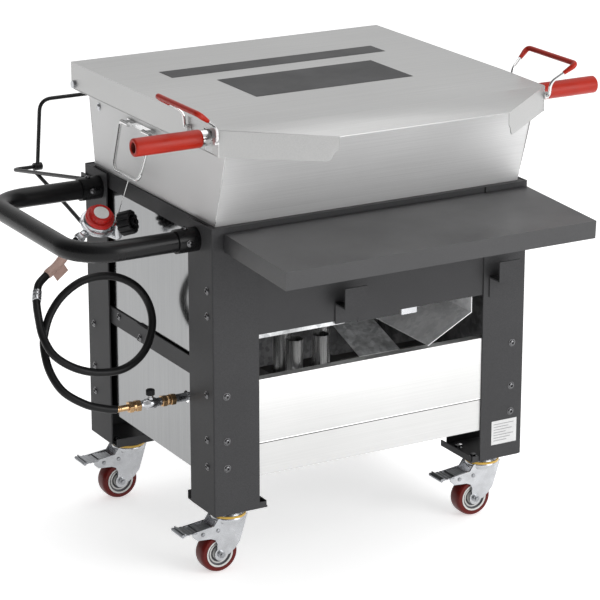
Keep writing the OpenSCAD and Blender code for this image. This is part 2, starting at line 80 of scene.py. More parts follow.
# Materials --------------------------------------------------------------------
class Mat:
    def __init__(self, name):
        self.m = bpy.data.materials.new(name)
        self.m.use_nodes = True
        self.t = self.m.node_tree
        self.b = self.t.nodes["Principled BSDF"]
        self.co = self.t.nodes.new("ShaderNodeTexCoord").outputs["Object"]

    def set(self, **k):
        names = dict(color="Base Color", rough="Roughness", metal="Metallic", coat="Coat Weight",
                     coat_rough="Coat Roughness", spec="Specular IOR Level", aniso="Anisotropic", sheen="Sheen Weight")
        for a, v in k.items():
            self.b.inputs[names[a]].default_value = (*v, 1) if a == "color" else v
        return self

    def node(self, kind, **ins):
        n = self.t.nodes.new(kind)
        for a, v in ins.items():
            key = a.replace("_", " ")
            if isinstance(v, bpy.types.NodeSocket):
                self.t.links.new(v, n.inputs[key])
            else:
                n.inputs[key].default_value = v
        return n

    def mapped(self, scale, rot=(0, 0, 0)):
        return self.node("ShaderNodeMapping", Vector=self.co, Scale=scale, Rotation=rot).outputs["Vector"]

    def noise(self, scale, detail=3, rough=0.55, stretch=(1, 1, 1)):
        return self.node("ShaderNodeTexNoise", Vector=self.mapped(stretch), Scale=scale, Detail=detail,
                         Roughness=rough).outputs["Fac"]

    def voronoi(self, scale):
        return self.node("ShaderNodeTexVoronoi", Vector=self.mapped((1, 1, 1)), Scale=scale)

    def ramp(self, fac, stops):
        n = self.node("ShaderNodeValToRGB", Fac=fac)
        e = n.color_ramp.elements
        while len(e) < len(stops):
            e.new(0.5)
        for el, (p, c) in zip(e, stops):
            el.position = p
            el.color = (c, c, c, 1) if isinstance(c, (int, float)) else (*c, 1)
        return n.outputs["Color"]

    def link(self, out, socket):
        self.t.links.new(out, self.b.inputs[socket])
        return self

    def mul(self, a, b):
        n = self.t.nodes.new("ShaderNodeMix")
        n.data_type, n.blend_type = "RGBA", "MULTIPLY"
        n.inputs["Factor"].default_value = 1
        self.t.links.new(a, n.inputs["A"])
        self.t.links.new(b, n.inputs["B"])
        return n.outputs["Result"]

    def bump(self, height, strength=0.2, dist=0.001):
        n = self.node("ShaderNodeBump", Height=height, Strength=strength, Distance=dist)
        return self.link(n.outputs["Normal"], "Normal")


def brushed(name, lo, hi, r0, r1, along="x", bump=0.12, blotch=0.0, metal=1.0):
    """Brushed stainless: long fine streaks in one direction over a soft cloudiness."""
    st = {"x": (1.2, 260, 260), "y": (260, 1.2, 260), "z": (260, 260, 1.2)}[along]
    m = Mat(name).set(metal=metal, aniso=0.3)
    streak = m.noise(3, 4, 0.7, st)
    cloud = m.noise(4 + blotch, 3, 0.5)
    c = m.mul(m.ramp(streak, [(0.3, tuple(lo)), (0.7, tuple(hi))]), m.ramp(cloud, [(0.25, 0.93), (0.75, 1.0)]))
    m.link(c, "Base Color")
    m.link(m.ramp(m.noise(2.5, 4, 0.7, st), [(0.3, r0), (0.7, r1)]), "Roughness")
    return m.bump(streak, bump, 0.0002).m


def coat(name, c, rough=0.42, grain=0.25, spec=0.25):
    """Semi-gloss powder coat with its fine orange peel and a little dust on it."""
    m = Mat(name).set(metal=0.0, spec=spec)
    fine = m.noise(900, 2, 0.5)
    dust = m.noise(7, 4, 0.6)
    m.link(m.mul(m.ramp(fine, [(0.3, tuple(x * 0.82 for x in c)), (0.7, tuple(x * 1.15 for x in c))]),
                 m.ramp(dust, [(0.3, 0.9), (0.7, 1.0)])), "Base Color")
    m.link(m.ramp(dust, [(0.3, rough - 0.05), (0.7, rough + 0.06)]), "Roughness")
    return m.bump(fine, grain, 0.0003).m


def plastic(name, c, rough=0.35, coatw=0.0, grain=400, bump=0.05, metal=0.0, vary=0.12, spec=0.5):
    m = Mat(name).set(metal=metal, coat=coatw, coat_rough=0.15, spec=spec)
    n = m.noise(grain, 3, 0.5)
    big = m.noise(30, 3, 0.6)
    m.link(m.mul(m.ramp(big, [(0.3, tuple(x * (1 - vary) for x in c)), (0.7, c)]), m.ramp(n, [(0.3, 0.92), (0.7, 1.0)])), "Base Color")
    m.link(m.ramp(big, [(0.3, rough * 0.85), (0.7, min(1, rough * 1.2))]), "Roughness")
    return m.bump(n, bump, 0.0003).m


def spangle(name, c0, c1, rough=0.38, metal=0.85, dirt=0.35):
    """Galvanised sheet with its crystal spangles and heat stain."""
    m = Mat(name).set(metal=metal)
    v = m.voronoi(110)
    stain = m.noise(14, 5, 0.65)
    m.link(m.mul(m.ramp(v.outputs["Color"], [(0.1, c0), (0.9, c1)]), m.ramp(stain, [(0.32, dirt), (0.62, 1.0)])), "Base Color")
    m.link(m.ramp(v.outputs["Color"], [(0.1, rough - 0.1), (0.9, rough + 0.14)]), "Roughness")
    return m.bump(v.outputs["Distance"], 0.15, 0.0004).m


M = dict(
    black=coat("black_powder_coat", (0.058, 0.058, 0.060), 0.42, spec=0.08),
    shelf=coat("shelf_powder_coat", (0.038, 0.038, 0.040), 0.36, spec=0.5),
    bar=coat("black_bar", (0.006, 0.006, 0.0065), 0.28, 0.15, spec=0.22),
    black_rod=coat("black_rod", (0.009, 0.009, 0.0095), 0.34),
    lid=brushed("lid_steel", (0.45, 0.45, 0.447), (0.54, 0.54, 0.537), 0.32, 0.44, "x", metal=0.92),
    tank=brushed("tank_steel", (0.68, 0.68, 0.68), (0.78, 0.78, 0.78), 0.50, 0.62, "x", metal=0.5),
    tank_in=brushed("inner_steel", (0.55, 0.55, 0.55), (0.66, 0.66, 0.66), 0.28, 0.4, "y"),
    panel=brushed("front_panel_steel", (0.60, 0.60, 0.595), (0.66, 0.66, 0.655), 0.36, 0.46, "x", 0.06, metal=0.85),
    mirror=brushed("side_panel_steel", (0.26, 0.264, 0.268), (0.33, 0.334, 0.338), 0.08, 0.16, "z", 0.04),
    wire=brushed("polished_wire", (0.66, 0.66, 0.66), (0.78, 0.78, 0.78), 0.14, 0.24, "y", 0.03),
    zinc=plastic("bright_zinc", (0.56, 0.57, 0.59), 0.24, 0, 60, 0.05, 1.0, 0.16),
    zinc_dull=plastic("dull_zinc", (0.40, 0.41, 0.43), 0.34, 0, 90, 0.12, 1.0, 0.25),
    dark=plastic("dark_screws", (0.16, 0.16, 0.165), 0.16, 0, 300, 0.05, 1.0),
    galv=spangle("galvanised_sheet", (0.55, 0.56, 0.57), (0.92, 0.93, 0.94), 0.42),
    # brighter copy of the galvanised sheet: painted light for the right hand baffle
    galv_painted_lit=spangle("galvanised_painted_lit", (0.80, 0.81, 0.82), (0.97, 0.97, 0.98), 0.55, 0.15, 0.75),
    # near black copy of the galvanised sheet: painted shade for the inside of the wind panels
    inner_painted_shade=spangle("inner_sheet_painted_shade", (0.045, 0.045, 0.047), (0.12, 0.12, 0.122), 0.5),
    galv_tube=brushed("galvanised_tube", (0.40, 0.40, 0.40), (0.95, 0.95, 0.95), 0.20, 0.38, "z", 0.2),
    iron=plastic("burner_casting", (0.045, 0.043, 0.042), 0.75, 0, 220, 0.6),
    vinyl=plastic("red_vinyl", (0.42, 0.018, 0.006), 0.34, 0.0, 500, 0.05, spec=0.25),
    # darker copy of the red vinyl: painted shade inside the grip bores
    vinyl_bore_painted_shade=plastic("grip_bore_painted_shade", (0.16, 0.016, 0.010), 0.6, 0, 300, 0.05),
    tread=plastic("red_tread", (0.115, 0.006, 0.004), 0.32, 0.05, 260, 0.05, spec=0.2),
    hub=plastic("hub", (0.66, 0.66, 0.64), 0.38, 0.1, 300, 0.05),
    # dark grey for the hub's recessed faces: painted shade
    hub_painted_shade=plastic("hub_recess_painted_shade", (0.10, 0.10, 0.11), 0.45, 0, 300, 0.05, 0.5),
    seal=plastic("yellow_seal", (0.66, 0.40, 0.04), 0.34, 0.2, 300, 0.05),
    brass=plastic("brass", (0.62, 0.40, 0.21), 0.26, 0, 120, 0.12, 1.0, 0.28),
    blackp=plastic("black_plastic", (0.010, 0.010, 0.011), 0.42, 0, 700, 0.2, spec=0.25),
    hose=plastic("hose_rubber", (0.008, 0.008, 0.0085), 0.38, 0.0, 900, 0.25, spec=0.2),
    capr=plastic("regulator_red", (0.56, 0.014, 0.010), 0.26, 0.1, 300, 0.04, spec=0.3),
    white=plastic("white_disc", (0.88, 0.88, 0.86), 0.45, 0, 400, 0.03),
    tag=plastic("tag_film", (0.60, 0.40, 0.34), 0.4, 0.2, 160, 0.25, 0.0, 0.25),
    label=plastic("plain_label", (0.70, 0.70, 0.70), 0.5, 0, 300, 0.02),
    grey=plastic("label_lines", (0.34, 0.34, 0.35), 0.5, 0, 300, 0.02),
    band=coat("plain_band", (0.020, 0.020, 0.022), 0.45, 0.1),
)


def paint(names, mat, bevel=0.0, smooth=None):
    for n in names.split():
        o = N[n]
        o.data.materials.clear()
        o.data.materials.append(M[mat])
        if smooth:
            for p in o.data.polygons:
                p.use_smooth = True
        if bevel:
            md = o.modifiers.new("edge", "BEVEL")
            md.width, md.segments, md.limit_method, md.angle_limit = bevel / 1000, 2, "ANGLE", math.radians(50)


# Mesh helpers -----------------------------------------------------------------
def obj(name, bm, mat, body, smooth=40, bevel=0.0, seg=2, mats=None):
    me = bpy.data.meshes.new(name)
    bm.normal_update()
    bm.to_mesh(me)
    bm.free()
    o = bpy.data.objects.new(name, me)
    bpy.context.scene.collection.objects.link(o)
    for k in (mats or [mat]):
        me.materials.append(M[k])
    for p in me.polygons:
        p.use_smooth = True
    me.set_sharp_from_angle(angle=math.radians(smooth))
    if bevel:
        md = o.modifiers.new("edge", "BEVEL")
        md.width, md.segments, md.limit_method, md.angle_limit = bevel / 1000, seg, "ANGLE", math.radians(40)
    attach(o, body)
    return o


def frame_at(origin, axis, up=None):
    z = Vector(axis).normalized()
    x = Vector(up).cross(z) if up is not None else z.orthogonal()
    x.normalize()
    y = z.cross(x)
    return Matrix.Translation(Vector(origin)) @ Matrix((x, y, z)).transposed().to_4x4()


def lathe(bm, prof, m, n=48, close=False, mi=None):
    """Turned solid: prof is (radius, height) in mm, round the z of matrix m."""
    rings = []
    for r, h in prof:
        if r < 1e-6:
            rings.append([bm.verts.new(m @ Vector((0, 0, h / 1000)))])
        else:
            rings.append([bm.verts.new(m @ Vector((r / 1000 * math.cos(2 * math.pi * k / n), r / 1000 * math.sin(2 * math.pi * k / n), h / 1000)))
                          for k in range(n)])
    pairs = list(zip(rings, rings[1:])) + ([(rings[-1], rings[0])] if close else [])
    for i, (a, b) in enumerate(pairs):
        for k in range(n):
            q = [a[k % len(a)], a[(k + 1) % len(a)], b[(k + 1) % len(b)], b[k % len(b)]]
            q = list(dict.fromkeys(q))
            if len(q) > 2:
                f = bm.faces.new(q)
                if mi:
                    f.material_index = mi[i % len(mi)]
    return bm


def cyl(bm, a, b, r, n=24, ch=0.4):
    """Round bar from a to b with chamfered ends."""
    v = (b - a)
    l = v.length * 1000
    return lathe(bm, [(0, 0), (r - ch, 0), (r, ch), (r, l - ch), (r - ch, l), (0, l)], frame_at(a, v), n)


def hexa(bm, a, axis, r, h, bore=0.0, ch=0.9):
    """Hexagon nut with chamfered corners."""
    m = frame_at(a, axis)
    rings = []
    for s, z in ((0.93, 0), (1, ch), (1, h - ch), (0.93, h)):
        rings.append([bm.verts.new(m @ Vector((s * r / 1000 * math.cos(math.pi / 3 * k), s * r / 1000 * math.sin(math.pi / 3 * k), z / 1000)))
                      for k in range(6)])
    for p, q in zip(rings, rings[1:]):
        for k in range(6):
            bm.faces.new([p[k], p[(k + 1) % 6], q[(k + 1) % 6], q[k]])
    bm.faces.new(rings[0][::-1])
    bm.faces.new(rings[-1])
    return bm


def block(bm, a, b, m=None):
    """Box between two corners, in metres."""
    c = [Vector((x, y, z)) for z in (a[2], b[2]) for y in (a[1], b[1]) for x in (a[0], b[0])]
    v = [bm.verts.new(m @ p if m else p) for p in c]
    for q in ((0, 2, 3, 1), (4, 5, 7, 6), (0, 1, 5, 4), (2, 6, 7, 3), (0, 4, 6, 2), (1, 3, 7, 5)):
        bm.faces.new([v[i] for i in q])
    return bm


def fillet(pts, rad, steps=8):
    """Round the corners of a broken line; rad in metres."""
    out = [pts[0]]
    for a, b, c in zip(pts, pts[1:], pts[2:]):
        u, v = (a - b), (c - b)
        d = min(rad, u.length * 0.45, v.length * 0.45)
        p, q = b + u.normalized() * d, b + v.normalized() * d
        for i in range(steps + 1):
            t = i / steps
            out.append(p * (1 - t) ** 2 + b * 2 * t * (1 - t) + q * t * t)
    return out + [pts[-1]]


def tube(bm, pts, r, n=16, caps=True, swell=None):
    """Round tube along a line without twist; r in mm."""
    t = [(pts[min(i + 1, len(pts) - 1)] - pts[max(i - 1, 0)]).normalized() for i in range(len(pts))]
    x = t[0].orthogonal().normalized()
    rings = []
    for i, p in enumerate(pts):
        x = (x - t[i] * x.dot(t[i])).normalized()
        y = t[i].cross(x)
        rr = (swell(i / (len(pts) - 1)) if swell else r) / 1000
        rings.append([bm.verts.new(p + rr * (math.cos(2 * math.pi * k / n) * x + math.sin(2 * math.pi * k / n) * y)) for k in range(n)])
    for a, b in zip(rings, rings[1:]):
        for k in range(n):
            bm.faces.new([a[k], a[(k + 1) % n], b[(k + 1) % n], b[k]])
    if caps:
        bm.faces.new(rings[0][::-1])
        bm.faces.new(rings[-1])
    return bm


def straight(a, b, n=6):
    return [a.lerp(b, i / n) for i in range(n + 1)]


# Hose: made first, on the CAD route ---------------------------------------------
ROUTE = [(-462, 46, 600), (-500, 40, 565), (-530, 35, 545), (-549, 28, 533),
         (-558, 18, 522), (-568, 0, 507), (-580, -35, 487), (-590, -75, 465),
         (-580, -100, 435), (-545, -115, 409), (-498, -120, 394), (-445, -115, 392),
         (-398, -100, 412), (-370, -80, 452), (-368, -60, 492), (-392, -50, 528),
         (-436, -45, 550), (-488, -42, 550), (-530, -40, 528), (-558, -40, 495),
         (-575, -48, 460), (-583, -62, 436), (-586, -92, 402), (-573, -120, 370),
         (-537, -135, 344), (-500, -140, 330), (-476, -140, 324)]
R = [P(*p) for p in ROUTE]
R = [2 * R[0] - R[1]] + R + [2 * R[-1] - R[-2]]
line = []
for i in range(1, len(R) - 2):
    p0, p1, p2, p3 = R[i - 1:i + 3]
    for k in range(8):
        t = k / 8
        line.append(0.5 * (2 * p1 + (p2 - p0) * t + (2 * p0 - 5 * p1 + 4 * p2 - p3) * t * t + (3 * p1 - p0 - 3 * p2 + p3) * t ** 3))
line.append(R[-2])
cu = bpy.data.curves.new("gas_hose", "CURVE")
cu.dimensions = "3D"
cu.bevel_depth = 0.0075
cu.bevel_resolution = 6
cu.use_fill_caps = True
sp = cu.splines.new("POLY")
sp.points.add(len(line) - 1)
for q, p in zip(sp.points, line):
    q.co = (*p, 1)
sp.use_smooth = True
cu.materials.append(M["hose"])
hose = bpy.data.objects.new("gas_hose", cu)
bpy.context.scene.collection.objects.link(hose)
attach(hose, "frame")
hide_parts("hose")

# Crimp ferrule with pressed rings
p4, p5 = P(*ROUTE[4]), P(*ROUTE[5])
bm = bmesh.new()
lathe(bm, [(7.6, 0), (8.8, 0.6), (8.8, 4), (8.1, 5), (8.1, 7), (8.8, 8), (8.8, 11), (8.1, 12), (8.1, 14), (8.8, 15), (8.8, 22.4), (7.6, 23)],
      frame_at(p4, p5 - p4), 32)
ferrule = obj("crimp_ferrule", bm, "zinc", "frame")
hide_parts("hose_ferrule")
# Film tag folded round the hose
bm = bmesh.new()
seg = [q for q in line[5:17]]
def tag_r(t):
    return 8.3 + 0.5 * math.sin(9 * t) + (0.3 if 0.08 < t < 0.92 else 0)
tube(bm, seg, 8.6, 20, True, tag_r)
m_tag = frame_at(seg[5], seg[6] - seg[5], (0, 0, 1))
block(bm, (-0.0004, -0.026, -0.014), (0.0004, -0.007, 0.016), m_tag)
tag = obj("hose_film_tag", bm, "tag", "frame", bevel=0.2)
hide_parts("hose_tag")

# Regulator -----------------------------------------------------------------------
rc = P(-414, 50, 630)
rz = Vector((0, -math.sin(math.radians(35)), math.cos(math.radians(35))))
rm = frame_at(rc, rz, (1, 0, 0))
bm = bmesh.new()
lathe(bm, [(0, -30), (13, -30), (17, -28), (18, -24), (18, -14), (27, -12.5), (32, -11), (34, -9), (34, -4.5), (33.2, -3), (29, -2), (28, 3), (27, 4), (0, 4)], rm, 48)
for k in range(6):
    a = math.pi / 3 * k + 0.3
    c = rm @ Vector((0.0305 * math.cos(a), 0.0305 * math.sin(a), -0.003))
    hexa(bm, c, rz, 2.6, 1.8, ch=0.3)
cyl(bm, P(-432, 52, 614), P(-462, 46, 600), 8, 24)
hexa(bm, P(-450, 48.4, 605.6), P(-462, 46, 600) - P(-432, 52, 614), 10.2, 11)
tube(bm, fillet([P(-402, 53, 606.5), P(-380, 35.5, 596.6), P(-388, 23.7, 623.8), P(-383.2, 18.2, 626.2)], 0.006), 7, 20)
reg = obj("regulator_casting", bm, "zinc", "frame", bevel=0.3)
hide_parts("regulator_body")
bm = bmesh.new()
cap_mi = [0]
lathe(bm, [(0, 4.4), (26.5, 4.4), (27.5, 5.4), (27.5, 13), (26.6, 14.3), (21.6, 14.8), (21, 15.6), (21, 22), (20, 23.2), (15, 23.3), (15, 22.6), (0, 22.6)], rm, 60)
for k in range(20):
    a = 2 * math.pi * k / 20
    mm = rm @ Matrix.Rotation(a, 4, "Z")
    block(bm, (0.0205, -0.0009, 0.0155), (0.0217, 0.0009, 0.0222), mm)
cap = obj("regulator_adjuster", bm, "capr", "regulator_cap", bevel=0.3)
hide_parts("regulator_cap")
bm = bmesh.new()
lathe(bm, [(0, 22.7), (14.6, 22.7), (14.6, 23.2), (0, 23.3)], rm, 40)
obj("regulator_cap_disc", bm, "white", "regulator_cap")
hw0 = P(-383, 18, 626.3)
hwz = Vector((20, -23, 10)).normalized()
hm = frame_at(hw0, hwz, (0, 0, 1))
bm = bmesh.new()
n = 144
rings = []
for rr, h in ((10, 0.3), (21, 0.3), (23, 1.8), (23, 24.6), (21.6, 26.3), (15, 26.3), (14, 25.2), (14, 14.2), (8, 14.2), (8, 29.6), (7, 30), (4.2, 30), (4.2, 22), (0.01, 22)):
    rings.append([])
    for k in range(n):
        a = 2 * math.pi * k / n
        d = 1.0 - 0.13 * min(1.0, max(0, 1.6 * math.cos(12 * a))) if rr > 20 else 1.0
        rings[-1].append(bm.verts.new(hm @ Vector((rr * d / 1000 * math.cos(a), rr * d / 1000 * math.sin(a), h / 1000))))
for a, b in zip(rings, rings[1:]):
    for k in range(n):
        bm.faces.new([a[k], a[(k + 1) % n], b[(k + 1) % n], b[k]])
bm.faces.new(rings[0][::-1])
bm.faces.new(rings[-1])
hw = obj("cylinder_handwheel", bm, "blackp", "handwheel", smooth=50)
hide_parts("regulator_handwheel")
bm = bmesh.new()
tube(bm, fillet([P(-365, 20, 709), P(-383, 35, 634), P(-384.5, 42, 621.5)], 0.006), 0.8, 8)
hang = obj("hanger", bm, "wire", "frame")
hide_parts("hanger_wire")

# Gas valve --------------------------------------------------------------------------
X = Vector((1, 0, 0))
bm = bmesh.new()
lathe(bm, [(0, 0), (6, 0), (6, 3), (5.2, 4), (6, 5), (6, 7), (5.2, 8), (6, 9), (6, 24), (0, 24)], frame_at(P(-476, -140, 324), X), 32)
hexa(bm, P(-452, -140, 324), X, 11.5, 9)
lathe(bm, [(0, 0), (8.6, 0), (9.4, 1), (9.4, 5), (0, 5)], frame_at(P(-443, -140, 324), X), 32)
hexa(bm, P(-438, -140, 324), X, 11.5, 10)
hexa(bm, P(-384, -140, 324), X, 11.5, 10)
lathe(bm, [(0, 0), (9, 0), (9.6, 1), (9.6, 7), (9, 8), (0, 8)], frame_at(P(-374, -140, 324), X), 32)
hexa(bm, P(-366, -140, 324), X, 11.5, 10)
br = obj("brass_fittings", bm, "brass", "frame", smooth=35, bevel=0.25)
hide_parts("brass_nuts")
bm = bmesh.new()
lathe(bm, [(0, 0), (7, 0), (8, 1), (8, 10), (10, 12.5), (10, 31), (8, 34), (8, 43), (7, 44), (0, 44)], frame_at(P(-428, -140, 324), X), 32)
hexa(bm, P(-406, -140, 332), (0, 0, 1), 6.4, 5)
cyl(bm, P(-406, -140, 324), P(-406, -140, 340), 5, 24)
vb = obj("needle_valve", bm, "zinc", "frame", bevel=0.3)
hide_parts("valve_body")
bm = bmesh.new()
n = 64
rings = []
for rr, h in ((0.01, 0), (7.4, 0), (8.4, 0.8), (8.4, 9.6), (7.4, 10.9), (2.5, 10.9), (2.2, 10.2), (0.01, 10.2)):
    rings.append([bm.verts.new(P(-406, -140, 340.4) + Vector((rr * (1 - 0.07 * max(0, math.cos(16 * math.pi * 2 * k / n)) * (rr > 7)) / 1000 * math.cos(2 * math.pi * k / n),
                 rr * (1 - 0.07 * max(0, math.cos(16 * math.pi * 2 * k / n)) * (rr > 7)) / 1000 * math.sin(2 * math.pi * k / n), h / 1000))) for k in range(n)])
for a, b in zip(rings, rings[1:]):
    for k in range(n):
        bm.faces.new([a[k], a[(k + 1) % n], b[(k + 1) % n], b[k]])
kn = obj("needle_valve_knob", bm, "blackp", "valve_knob")
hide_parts("valve_knob")

# CAD nodes that keep their shape ------------------------------------------------------
paint("leg_front_left leg_front_right leg_rear_left leg_rear_right", "black", 1.2)
paint("top_rails front_apron mid_rails hooks shelf_lugs caster_brackets", "black", 0.5)
paint("push_bar_sockets", "bar", 1.2)
paint("lid_rest_arms lid_rest_frame", "black_rod")
paint("side_panel_left side_panel_right rear_panel", "mirror")
paint("front_panel", "panel", 0.4)
paint("tank", "tank", 0.6)
paint("basket", "tank_in", 0.4)
paint("basket_tubes drop_handle_brackets drop_handle_left drop_handle_right lid_handle_wires", "wire")
paint("fasteners", "dark", 0.5)
paint("hinge_bolts gas_pipe", "zinc", 0.4)
paint("burner_tubes", "galv_tube", 0.4)
paint("burner_manifold", "iron", 1.5)
paint("heat_baffles", "galv", 0.3)
# The right hand baffle gets a brighter copy of the galvanised sheet: painted light, so it reads as the better lit of
# the two
N["heat_baffles"].data.materials.append(M["galv_painted_lit"])
for p in N["heat_baffles"].data.polygons:
    if (N["heat_baffles"].matrix_world @ p.center).x > 0.17:
        p.material_index = 1
paint("caster_plates", "zinc", 0.5)
paint("caster_seals", "seal", 0.8)
bm = bmesh.new()
bm.from_mesh(N["lid"].data)
crease = P(0, -158, 0).y
bmesh.ops.remove_doubles(bm, verts=bm.verts, dist=1e-6)
bmesh.ops.bisect_plane(bm, geom=bm.verts[:] + bm.edges[:] + bm.faces[:], plane_co=(0, crease, 0), plane_no=(0, 1, 0))
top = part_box("lid")[1].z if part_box("lid")[1].z < 0.9 else P(0, 0, 877).z
for v in bm.verts:
    if v.co.y < crease - 1e-5 and v.co.z > top - 0.004:
        v.co.z -= (crease - v.co.y) * 0.018
lid_sheet = obj("lid_sheet", bm, "lid", "lid", smooth=25, bevel=0.5)
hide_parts("lid")
paint("shelf", "shelf", 1.4)
paint("basket_grips lid_handle_grips", "vinyl", 0.8)
paint("push_bar", "black", 0)
for q in ("fl", "fr", "rl", "rr"):
    paint("caster_fork_" + q, "zinc", 0.7)
    paint("caster_wheel_" + q, "tread")
    paint("caster_pedal_" + q, "zinc_dull", 0.6)

# The inner faces of the wind panels are bare galvanised sheet, coloured near black: painted shade for the dim inside of
# the burner box
for n, axis, sign in (("side_panel_left", 0, 1), ("side_panel_right", 0, -1), ("rear_panel", 1, -1)):
    N[n].data.materials.append(M["inner_painted_shade"])
    for p in N[n].data.polygons:
        if p.normal[axis] * sign > 0.9:
            p.material_index = 1

# Push bar: one bent tube, with no joints between straight runs and bends
bm = bmesh.new()
pts = []
BX = (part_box("push_bar")[0].x - OX) * 1000 + 19
pts += straight(P(-340.6, 203, 649), P(BX + 75, 203, 649), 10)
for k in range(1, 17):
    a = math.pi / 2 * k / 16
    pts.append(P(BX + 75 - 75 * math.sin(a), 128 + 75 * math.cos(a), 649))
pts += straight(P(BX, 128, 649), P(BX, -128, 649), 16)[1:]
for k in range(1, 17):
    a = math.pi / 2 * k / 16
    pts.append(P(BX + 75 - 75 * math.cos(a), -128 - 75 * math.sin(a), 649))
pts += straight(P(BX + 75, -203, 649), P(-340.6, -203, 649), 10)[1:]
tube(bm, pts, 19, 40)
pb = obj("push_bar_tube", bm, "bar", "frame")
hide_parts("push_bar")

# Basket grips: dipped vinyl over tube, rounded lip, open bore
bm = bmesh.new()
bm2 = bmesh.new()
for s in (-1, 1):
    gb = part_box("basket_grips")
    end = ((gb[0].x if s < 0 else gb[1].x) - OX) * 1000
    gl = abs(end) - 362
    m = frame_at(P(end, -267, 853), (-s, 0, 0))
    lathe(bm, [(9.6, 1.5), (10.5, 0.3), (13, 0), (15.2, 0.6), (16.2, 1.8), (16.5, 4), (16.5, 60), (16.3, 100), (16.5, gl - 5), (16.2, gl - 2), (15.2, gl - 0.4), (11.2, gl - 0.1)], m, 48)
    lathe(bm2, [(9.6, 1.5), (9.52, 40), (0.01, 40)], m, 40)
gr = obj("basket_handle_grips", bm, "vinyl", "frame", smooth=60)
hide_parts("basket_grips")
# the bores take a darker red: painted shade inside the open tube ends
obj("basket_handle_bores", bm2, "vinyl_bore_painted_shade", "frame")

# Lid handles: bent wire in a dipped sleeve
bmw, bmg = bmesh.new(), bmesh.new()
for s in (-1, 1):
    eye_a, eye_b = [(-197, -170, 1), (-304, -332, -1)]
    path = [P(s * 351, -202, 855), P(s * 351, -188, 855), P(s * 353, -186, 882), P(s * 398, -170, 915),
            P(s * 398, -332, 915), P(s * 353, -315, 882), P(s * 351, -313, 855), P(s * 351, -299, 855)]
    w = fillet(path, 0.011)
    tube(bmw, w, 3.0, 16)
    a = P(s * 398, -170, 915).lerp(P(s * 353, -186, 882), 0.5)
    b = P(s * 398, -332, 915).lerp(P(s * 353, -315, 882), 0.5)
    g = fillet([a, P(s * 398, -170, 915), P(s * 398, -332, 915), b], 0.011)
    tube(bmg, g, 5, 20, True, lambda t: 5.2 - 1.4 * max(0, 1 - 30 * t) ** 2 - 1.4 * max(0, 1 - 30 * (1 - t)) ** 2)
lw = obj("lid_handle_rods", bmw, "wire", "lid")
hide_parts("lid_handle_wires")
lg = obj("lid_handle_sleeves", bmg, "vinyl", "lid")
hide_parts("lid_handle_grips")

# Drop handles: one bent wire each
for name, s in (("left", -1), ("right", 1)):
    bm = bmesh.new()
    tilt = Matrix.Rotation(math.radians(-14) * s, 4, "Y")
    o0 = P(s * 339, 38, 802)
    loc = [Vector((0, 0.048, 0)), Vector((0, 0.064, 0)), Vector((0, 0.056, -0.080)), Vector((0, 0.046, -0.090)),
           Vector((0, -0.046, -0.090)), Vector((0, -0.056, -0.080)), Vector((0, -0.064, 0)), Vector((0, -0.048, 0))]
    tube(bm, fillet([o0 + tilt @ p for p in loc], 0.009), 3.2, 16)
    d = obj("drop_handle_rod_" + name, bm, "wire", "drop_" + name)
    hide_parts("drop_handle_" + name)

# Lid rest: bent rod with welded sleeves
bm = bmesh.new()
tube(bm, fillet([P(-291, 603.1, 595.9), P(-291, 582, 736.5), P(291, 582, 736.5), P(291, 603.1, 595.9)], 0.026), 4, 16)
for s in (-1, 1):
    m = frame_at(P(s * 291 - 9, 604, 590), X)
    lathe(bm, [(4.1, 0.3), (4.6, 0), (7.6, 0), (8, 0.5), (8, 17.5), (7.6, 18), (4.6, 18), (4.1, 17.7)], m, 32, close=True)
lf = obj("lid_rest_loop", bm, "black_rod", "lid_rest")
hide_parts("lid_rest_frame")
bm = bmesh.new()
for s in (-1, 1):
    tube(bm, fillet([P(s * 346, 262, 652), P(s * 346, 604, 590), P(s * 280, 604, 590)], 0.018), 4, 16)
    tube(bm, fillet([P(s * 346, 488, 611), P(s * 346, 346, 579), P(s * 346, 262, 557)], 0.03), 4, 16)
    for y0, z0, y1, z1 in ((236, 640, 276, 662), (250, 548, 276, 566)):
        a, b = P(s * 340, y0, z0), P(s * 344, y1, z1)
        block(bm, (min(a.x, b.x), a.y, a.z), (max(a.x, b.x), b.y, b.z))
la = obj("lid_rest_rods", bm, "black_rod", "frame", bevel=0.4)
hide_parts("lid_rest_arms")

# Front wind panel: a folded lip along its foot and a return along its top
bm = bmesh.new()
prof = [(-262.2, 190), (-263.2, 190.6), (-263.2, 253.2), (-262.4, 253.2), (-262.4, 255.2), (-264.4, 255.2), (-264.4, 255.8), (-263.9, 257), (-263.7, 377), (-263.0, 379.3),
        (-261.4, 380), (-245, 380), (-245, 378.6), (-261, 378.5), (-262, 377), (-261.4, 257), (-261.4, 194)]
for xa, xb in ((-300, 300),):
    L = [bm.verts.new(P(xa, y, z)) for y, z in prof]
    Rr = [bm.verts.new(P(xb, y, z)) for y, z in prof]
    for k in range(len(prof)):
        bm.faces.new([L[k], L[(k + 1) % len(prof)], Rr[(k + 1) % len(prof)], Rr[k]])
    bm.faces.new(L[::-1])
    bm.faces.new(Rr)
fp = obj("front_wind_panel", bm, "panel", "frame", smooth=20)
# The faces in the recess under the lap take the near-black bar material: painted shade, so the lap reads as a dark line
fp.data.materials.append(M["bar"])
for p in fp.data.polygons:
    if P(0, 0, 253.1).z < p.center.z < P(0, 0, 255.3).z:
        p.material_index = 1
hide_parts("front_panel")

